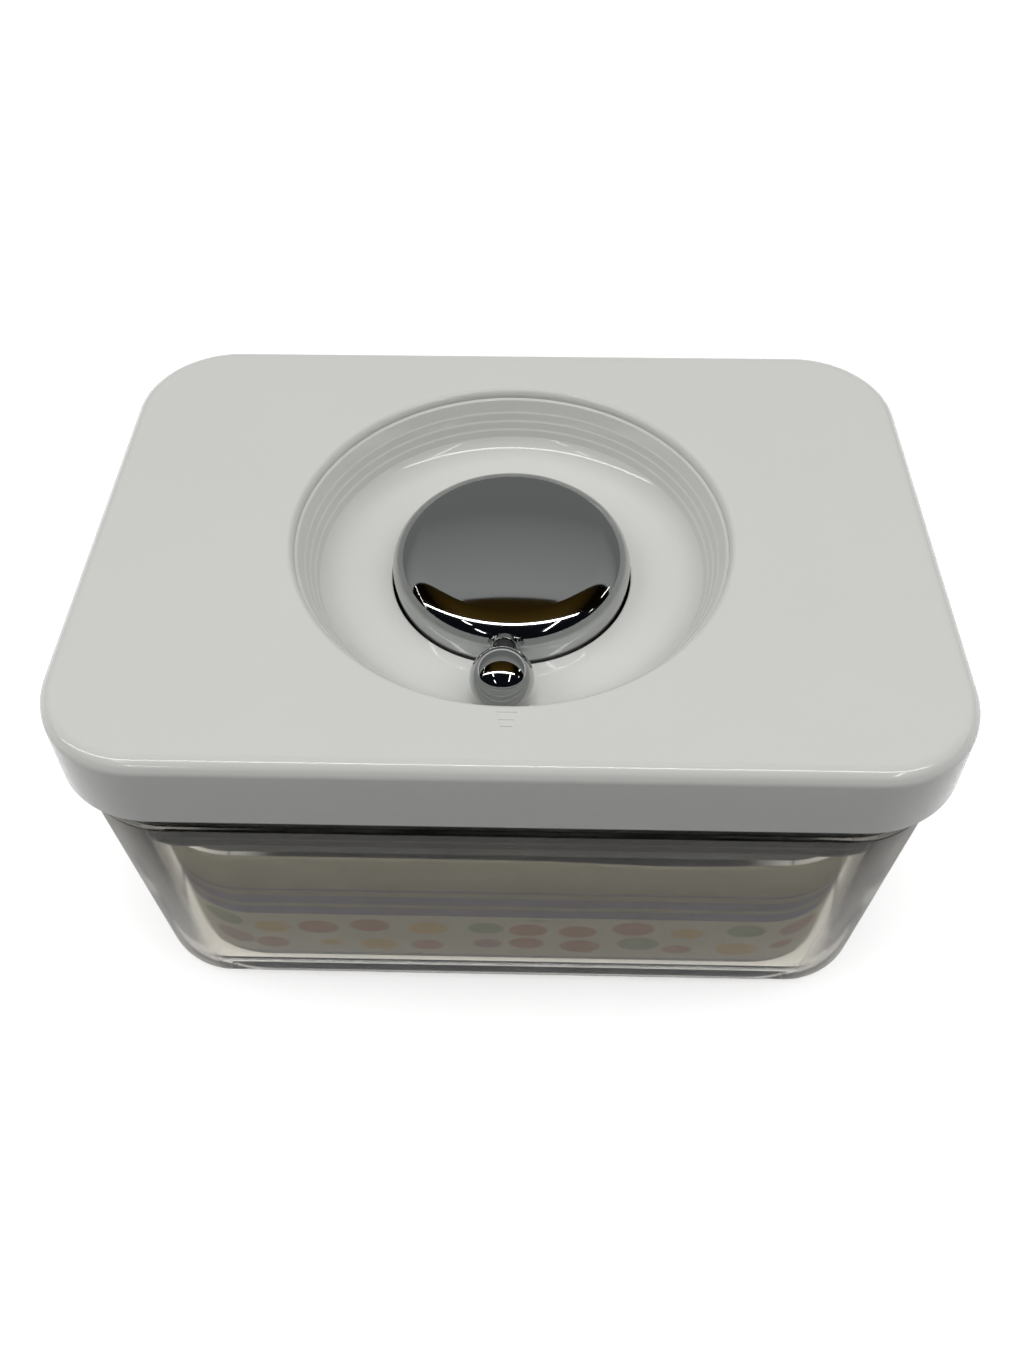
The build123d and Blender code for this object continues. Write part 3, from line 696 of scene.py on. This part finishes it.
def add_relief(tree, shader, scale, depth, detail=2.0):
    """Fine bump of a given depth in metres; returns its normal for a second shader."""
    bump = add_node(tree, "Bump", {"Height": noise(tree, scale, detail), "Distance": depth})
    tree.links.new(bump.outputs["Normal"], shader.inputs["Normal"])
    return bump.outputs["Normal"]


print("finish helpers", [f.__name__ for f in (new_finish, vary_colour, vary_gloss, add_relief)])

# %% [markdown]
# ### White cover
# A white moulding with a satin skin: a very fine spark-eroded grain, a slightly warm white that
# drifts by a few per cent, and gloss that varies where hands have been.

# %% White plastic
white, tree, shader = new_finish("white_plastic", (0.70, 0.705, 0.675), 0.12, IOR=1.49)
vary_colour(tree, shader, (0.69, 0.694, 0.662), (0.712, 0.718, 0.69), 28.0)
vary_gloss(tree, shader, 0.05, 0.10, 60.0)
add_relief(tree, shader, 160.0, 0.000006, 1.0)
cover.data.materials.append(white)
print(white.name, "has", len(tree.nodes), "nodes")

# %% [markdown]
# ### Clear tub
# The tub is a clear plastic, a little warm, that bends light. The full shader alone mirrors the
# pale floor in the tub's front and veils the print. So where the wall is seen square-on, a large
# share of it is a plain refraction with no mirror in it. That share is left out inside the foot,
# because light is reflected totally there, and a plain refraction would turn black.

# %% Clear plastic: the wall
plastic_tint, plastic_ior = (0.86, 0.85, 0.82), 1.45
quiet_facing, quiet_most, foot_zone = (0.61, 0.75), 0.7, (0.004, 0.010)
clear, tree, shader = new_finish(
    "clear_plastic", plastic_tint, 0.06, IOR=plastic_ior, Transmission_Weight=1.0, Specular_IOR_Level=0.4,
)
vary_gloss(tree, shader, 0.04, 0.12, 40.0)
relief = add_relief(tree, shader, 45.0, 0.00004, 1.0)
bent = add_node(tree, "BsdfRefraction", {
    "Color": (*plastic_tint, 1), "Roughness": 0.08, "IOR": plastic_ior, "Normal": relief,
})
facing = add_node(tree, "LayerWeight", {"Blend": 0.5}).outputs["Facing"]
axes = object_axes(tree)
from_inside = add_node(tree, "NewGeometry").outputs["Backfacing"]
in_foot = calculate(tree, "MULTIPLY", between(tree, axes["Z"], *foot_zone, 1.0, 0.0), from_inside)
quiet_share = between(tree, facing, *quiet_facing, quiet_most, 0.0)
quiet_share = calculate(tree, "MULTIPLY", quiet_share, calculate(tree, "SUBTRACT", 1.0, in_foot))
quiet_wall = mix_shaders(tree, quiet_share, shader.outputs[0], bent.outputs[0])
print(clear.name, "has", len(tree.nodes), "nodes")

# %% [markdown]
# The tub's corners look milky, because light goes a long way through the plastic there. A share
# of matt and of frosted light is mixed in at the corners alone, and it grows where they are seen
# edge-on. Light also has to get through the tub to the liner, so rays that only test for shadow
# pass it, a little dimmed, and all others see the real shader.

# %% Clear plastic: milky corners, and shadow
haze_facing, haze_least, haze_most, corner_fade = (0.42, 0.78), 0.08, 0.72, 6.0
into_corner = [
    beyond(tree, axes[axis], half * MM, (half + corner_fade) * MM) for axis, half in zip("XY", tub_core)
]
haze_share = between(tree, facing, *haze_facing, haze_least, haze_most)
haze_share = calculate(tree, "MULTIPLY", haze_share, calculate(tree, "MULTIPLY", *into_corner))
scatter = add_node(tree, "BsdfDiffuse", {"Color": (0.92, 0.90, 0.86, 1)})
frost = add_node(tree, "BsdfRefraction", {"Color": (0.90, 0.88, 0.85, 1), "Roughness": 0.45, "IOR": 1.02})
haze = mix_shaders(tree, 0.5, scatter.outputs[0], frost.outputs[0])
hazy_wall = mix_shaders(tree, haze_share, quiet_wall, haze)
shadow_test = add_node(tree, "LightPath").outputs["Is Shadow Ray"]
passing = add_node(tree, "BsdfTransparent", {"Color": (0.93, 0.92, 0.90, 1)})
show(tree, mix_shaders(tree, shadow_test, hazy_wall, passing.outputs[0]))
tub.data.materials.append(clear)
print(clear.name, "now has", len(tree.nodes), "nodes")

# %% [markdown]
# ### Printed sheet
# The sheet is off-white paper board with a plain print: thin and broad stripes round its middle,
# and below them, on a sand tone, rows of plain rounded shapes in earthy colours. The stripes come
# from the height in the sheet's own map, as a ramp of colours with sharp ends.

# %% Printed stripes
print_height = 0.07
cream, sand, pale = (0.90, 0.87, 0.71, 1), (0.55, 0.52, 0.42, 1), (0.54, 0.51, 0.47, 1)
lilac, olive = (0.10, 0.08, 0.12, 1), (0.27, 0.24, 0.16, 1)
bands = [
    (0.0, 0.20, pale), (0.215, 0.525, sand), (0.53, 0.585, lilac), (0.59, 0.61, olive),
    (0.615, 0.67, lilac), (0.675, 0.705, olive), (0.71, 0.72, lilac),
]
stops = [(edge, colour) for start, end, colour in bands for edge in (start, end)]
stops += [(0.725, olive), (1.0, cream)]
paper, tree, shader = new_finish("printed_paper", (0.45, 0.42, 0.34), 0.62)
uv = add_node(tree, "UVMap", uv_map="print_map")
above_ground = add_node(tree, "SeparateXYZ", {"Vector": uv.outputs["UV"]}).outputs["Y"]
stripes = colour_steps(tree, between(tree, above_ground, 0.0, print_height), stops, "LINEAR")
print("stripe stops", len(stops))

# %% [markdown]
# The rounded shapes sit between the lower band and the pale margin. Each cell of a Voronoi pattern
# is a soft disc, and a ramp gives it one of a few earthy colours by the cell's own random value.

# %% Printed shapes
cells_per_metre, cell_shift, cell_jitter = (75.0, 108.0, 1.0), (0.0, -0.107, 0.0), 0.35
disc_edge, ink_share = (0.37, 0.44), 0.85
shapes_from, shapes_to = 0.0165, 0.0355
stretch = add_node(tree, "Mapping", {
    "Vector": uv.outputs["UV"], "Scale": cells_per_metre, "Location": cell_shift,
})
cells = add_node(tree, "TexVoronoi", {
    "Vector": stretch.outputs["Vector"], "Scale": 1.0, "Randomness": cell_jitter,
})
disc = between(tree, cells.outputs["Distance"], *disc_edge, 1.0, 0.0)
cell_value = add_node(tree, "SeparateColor", {"Color": cells.outputs["Color"]})
tints = [(0.0, (0.32, 0.13, 0.06, 1)), (0.3, (0.50, 0.33, 0.08, 1))]
tints += [(0.55, (0.16, 0.20, 0.09, 1)), (0.78, (0.30, 0.16, 0.14, 1))]
tint = colour_steps(tree, cell_value.outputs["Red"], tints, "CONSTANT")
above_margin = calculate(tree, "GREATER_THAN", above_ground, shapes_from)
under_band = calculate(tree, "LESS_THAN", above_ground, shapes_to)
shape = calculate(tree, "MULTIPLY", calculate(tree, "MULTIPLY", above_margin, under_band), disc)
ink = calculate(tree, "MULTIPLY", shape, ink_share)
tree.links.new(mix_colours(tree, ink, stripes, tint), shader.inputs["Base Color"])
vary_gloss(tree, shader, 0.5, 0.7, 90.0)
add_relief(tree, shader, 1400.0, 0.00002)
liner.data.materials.append(paper)
print(paper.name, "has", len(tree.nodes), "nodes")

# %% [markdown]
# ### Chrome
# Bright plating: nearly a mirror, a little cool in the greys, with faint haze where it has been
# wiped and a slow ripple in the polish that bends long reflections. The short neck between the
# dial and the ball has a darker chrome colour: painted shade, standing in for the dark of its gap.

# %% Chrome
chrome, tree, shader = new_finish("chrome", (0.46, 0.47, 0.475), 0.045, Metallic=1.0)
vary_gloss(tree, shader, 0.03, 0.075, 120.0)
add_relief(tree, shader, 70.0, 0.00001, 1.0)
for plated in (cap, ball, collar):
    plated.data.materials.append(chrome)
# Painted shade: the neck's chrome is darkened to stand in for the shade in the gap between dial and ball.
shade_painted_chrome, tree, shader = new_finish("shade_painted_chrome", (0.13, 0.13, 0.135), 0.12, Metallic=1.0)
vary_gloss(tree, shader, 0.08, 0.18, 300.0)
neck.data.materials.append(shade_painted_chrome)
print("plated pieces", [plated.name for plated in (cap, ball, collar, neck)])

# %% [markdown]
# ### Dark plastic and silicone
# The plug and the plate under the cover are a dark moulded plastic. The seal, the plate's washer
# and the vent are silicone: softer, more matt, with a fine blasted grain.

# %% Dark plastic, silicone
dark, tree, shader = new_finish("dark_plastic", (0.030, 0.031, 0.032), 0.42, IOR=1.47)
vary_colour(tree, shader, (0.026, 0.027, 0.028), (0.038, 0.039, 0.039), 40.0)
vary_gloss(tree, shader, 0.34, 0.5, 80.0)
add_relief(tree, shader, 2200.0, 0.00002)
silicone, tree, shader = new_finish("dark_silicone", (0.045, 0.045, 0.044), 0.55, IOR=1.41)
vary_colour(tree, shader, (0.038, 0.038, 0.037), (0.056, 0.055, 0.053), 90.0)
vary_gloss(tree, shader, 0.45, 0.65, 150.0)
add_relief(tree, shader, 3200.0, 0.000015)
seal.data.materials.append(silicone)
pale_silicone, tree, shader = new_finish(
    "pale_silicone", (0.55, 0.54, 0.50), 0.5, IOR=1.41, Subsurface_Weight=0.15,
    Subsurface_Radius=(0.002, 0.0015, 0.001),
)
vary_colour(tree, shader, (0.52, 0.51, 0.47), (0.60, 0.59, 0.55), 120.0)
add_relief(tree, shader, 3200.0, 0.000015)
print("soft finishes", [finish.name for finish in (silicone, pale_silicone)])

# %% [markdown]
# ### Steel and the bearing plastics
# Screws, pins, the spindle and the clip are plain steel with turning marks. The bush and the
# washer are a slippery ivory plastic, and the hub is a tough grey one.

# %% Steel, bearing plastic, hub plastic
steel, tree, shader = new_finish("steel", (0.50, 0.49, 0.48), 0.3, Metallic=1.0)
vary_colour(tree, shader, (0.46, 0.45, 0.44), (0.56, 0.55, 0.54), 300.0)
vary_gloss(tree, shader, 0.2, 0.42, 700.0)
add_relief(tree, shader, 2400.0, 0.00001)
spring.data.materials.append(steel)
bearing, tree, shader = new_finish("bearing_plastic", (0.62, 0.58, 0.48), 0.4, IOR=1.48)
vary_colour(tree, shader, (0.59, 0.55, 0.45), (0.66, 0.62, 0.53), 150.0)
vary_gloss(tree, shader, 0.32, 0.48, 200.0)
add_relief(tree, shader, 2600.0, 0.00001)
hub, tree, shader = new_finish("hub_plastic", (0.19, 0.19, 0.20), 0.45, IOR=1.5)
vary_colour(tree, shader, (0.17, 0.17, 0.18), (0.22, 0.22, 0.23), 120.0)
vary_gloss(tree, shader, 0.38, 0.55, 200.0)
add_relief(tree, shader, 2200.0, 0.00002)
print("inner finishes", [finish.name for finish in (steel, bearing, hub)])

# %% [markdown]
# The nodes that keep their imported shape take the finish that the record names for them.

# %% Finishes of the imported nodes
finishes = {
    "clear_plastic": clear, "printed_paper": paper, "white_plastic": white, "dark_plastic": dark,
    "dark_silicone": silicone, "steel": steel, "bearing_plastic": bearing, "chrome": chrome,
    "hub_plastic": hub, "pale_silicone": pale_silicone,
}
for entry in frame["record"]["subparts"]:
    mesh = frame["nodes"][entry["node"]].data
    mesh.materials.clear()
    mesh.materials.append(finishes[entry["material_slot"]])
print("finishes", sorted(finishes))

# %% [markdown]
# ## The studio
# The background is white for the camera, for mirrors and through the clear tub, while the light
# that falls on the object stays plain: one large soft lamp, a little in front of straight above,
# and a weaker one from either side, so that the ends of the cover don't go dark.


# %% World and lamps
def seen_directly(tree):
    """1 for camera, mirror and see-through rays, and 0 for light that a matt surface gathers."""
    ray = add_node(tree, "LightPath").outputs
    sharp = calculate(tree, "ADD", ray["Is Camera Ray"], ray["Is Glossy Ray"])
    sharp = calculate(tree, "ADD", sharp, ray["Is Transmission Ray"], clamp=True)
    return calculate(tree, "MULTIPLY", sharp, calculate(tree, "LESS_THAN", ray["Diffuse Depth"], 0.5))


def soft_lamp(name, slope_x, slope_front, energy, spread):
    """Sun lamp with a wide soft disc; its direction is given as slopes from straight above."""
    lamp = bpy.data.lights.new(name, "SUN")
    lamp.energy, lamp.angle = energy, math.radians(spread)
    made = bpy.data.objects.new(name, lamp)
    made.rotation_euler = Vector((slope_x, -slope_front, 1.0)).to_track_quat("Z", "Y").to_euler()
    made.visible_glossy = False
    bpy.context.scene.collection.objects.link(made)


gathered_level = 0.17
world = bpy.data.worlds.new("studio")
bpy.context.scene.world = world
world.use_nodes = True
tree = world.node_tree
background = tree.nodes["Background"]
background.inputs["Color"].default_value = (1, 1, 1, 1)
background_level = between(tree, seen_directly(tree), 0.0, 1.0, gathered_level, 1.0)
tree.links.new(background_level, background.inputs["Strength"])

soft_lamp("softbox_middle", 0.0, 0.02, 1.28, 34)
soft_lamp("softbox_left", -1.0, 0.04, 0.68, 40)
soft_lamp("softbox_right", 0.75, 0.04, 0.60, 40)

# %% [markdown]
# The floor is a wide sheet that the camera sees as white where the lamps reach it, and darker in
# the object's shadow. A little light of its own keeps that shadow pale, but not under the middle
# of the tub, where it would shine up behind the print. For light that bounces the floor is dark,
# so the skirt isn't lit from below. It lies a hair under the foot, because two surfaces in one
# plane can't be told apart, and show as a light spot in the plastic.


# %% Floor
def make_card(name, corners, material):
    """Flat four-sided card; its corners are in mm, in order round its edge."""
    mesh = bpy.data.meshes.new(name)
    mesh.from_pydata((np.asarray(corners, float) * MM).tolist(), [], [(0, 1, 2, 3)])
    made = bpy.data.objects.new(name, mesh)
    bpy.context.scene.collection.objects.link(made)
    mesh.materials.append(material)
    return made


floor_half, floor_level, own_light = 4000, -0.05, 0.40
floor_bounced, floor_seen = (0.08, 0.08, 0.078, 1), (0.92, 0.92, 0.92, 1)
clear_of_x, clear_of_y = (0.070, 0.080), (0.040, 0.050)
ground = bpy.data.materials.new("pale_floor")
ground.use_nodes = True
tree = ground.node_tree
tree.nodes.remove(tree.nodes["Principled BSDF"])
seen = seen_directly(tree)
matt = add_node(tree, "BsdfDiffuse", {"Color": mix_colours(tree, seen, floor_bounced, floor_seen)})
axes = object_axes(tree)
beside = [beyond(tree, axes[axis], *ends) for axis, ends in (("X", clear_of_x), ("Y", clear_of_y))]
beside = calculate(tree, "MAXIMUM", *beside)
level = calculate(tree, "MULTIPLY", calculate(tree, "MULTIPLY", seen, own_light), beside)
base = add_node(tree, "Emission", {"Strength": level})
show(tree, add_node(tree, "AddShader", {0: matt.outputs[0], 1: base.outputs[0]}).outputs[0])
floor_corners = [(-floor_half, -floor_half), (floor_half, -floor_half)]
floor_corners += [(floor_half, floor_half), (-floor_half, floor_half)]
make_card("floor", [(*corner, floor_level) for corner in floor_corners], ground)
print("floor", floor_level, "mm from the foot")

# %% [markdown]
# Chrome is only as good as the room it mirrors. Above the table hang flat cards that only mirrors
# see: a grey ceiling from behind, a brown card over the middle, a long thin strip light, and a
# dark card towards the viewer. They don't light the object and the camera never sees them.


# %% Cards for the chrome
def glow(name, colour, strength, x_fade=None, y_fade=None):
    """Emission; a fade (start, end, share) brings it down to a share along |X| or along Y."""
    material = bpy.data.materials.new(name)
    material.use_nodes = True
    tree = material.node_tree
    tree.nodes.remove(tree.nodes["Principled BSDF"])
    axes = object_axes(tree)
    across, level = calculate(tree, "ABSOLUTE", axes["X"]), strength
    for place, fade in ((across, x_fade), (axes["Y"], y_fade)):
        if fade:
            start, end, share = fade
            level = calculate(tree, "MULTIPLY", level, between(tree, place, start, end, 1.0, share))
    show(tree, add_node(tree, "Emission", {"Color": (*colour, 1), "Strength": level}).outputs[0])
    return material


def hang(name, slopes, height, material):
    """Card at a height, its corners given as slopes from straight above: X/Z and -Y/Z. Only
    mirrors see it: it casts no shadow and gives no light."""
    card = make_card(name, [(x * height, -p * height, height) for x, p in slopes], material)
    card.visible_camera = card.visible_diffuse = card.visible_transmission = card.visible_shadow = False
    card.visible_volume_scatter = False


hang_height, strip_drop, stroke_drop = 1200.0, 20.0, 30.0
room_end, ceiling_end, brown_end = 7, -0.43, 0.33
ceiling = glow("ceiling_grey", (0.385, 0.39, 0.38), 1.0, y_fade=(0.6, 1.5, 0.58))
brown = glow("brown_card", (0.085, 0.050, 0.009), 1.0, (0.50, 1.05, 0.06), (-0.36, 0.50, 0.35))
night = glow("dark_card", (0.006, 0.007, 0.010), 1.0)
strip = glow("strip_light", (1.0, 0.98, 0.94), 11.0)
cards = [
    ("card_ceiling", -room_end, ceiling_end, ceiling), ("card_brown", ceiling_end, brown_end, brown),
    ("card_dark", brown_end, room_end, night),
]
for name, back, near, material in cards:
    corners = [(-room_end, back), (room_end, back), (room_end, near), (-room_end, near)]
    hang(name, corners, hang_height, material)
strip_corners = [(-2.13, 0.195), (0.956, 0.275), (0.956, 0.35), (-2.13, 0.27)]
hang("strip_main", strip_corners, hang_height - strip_drop, strip)
print("cards hang at", hang_height, "mm")

# %% [markdown]
# Other lamps of the room show as short strokes in the cap. Each is a thin card between two slopes.

# %% Short lamps
broad, thin = 0.022, 0.008
strokes = [
    (-0.58, 0.40, -0.53, 0.57, broad), (-0.60, 0.90, -0.55, 1.30, broad),
    (0.66, 1.09, 0.58, 0.38, broad), (1.59, -0.12, 1.82, -0.49, broad),
    (1.97, 0.52, 1.92, 0.36, broad), (-1.40, -0.40, -1.75, -0.06, thin),
    (-1.75, -0.06, -2.6, 0.5, thin),
]
for number, (x0, p0, x1, p1, half_width) in enumerate(strokes):
    start, end = np.array([x0, p0]), np.array([x1, p1])
    across = np.array([p0 - p1, x1 - x0]) / np.linalg.norm(end - start) * half_width
    corners = [start + across, start - across, end - across, end + across]
    hang(f"stroke_{number}", corners, hang_height - stroke_drop, strip)
print("strokes", len(strokes))
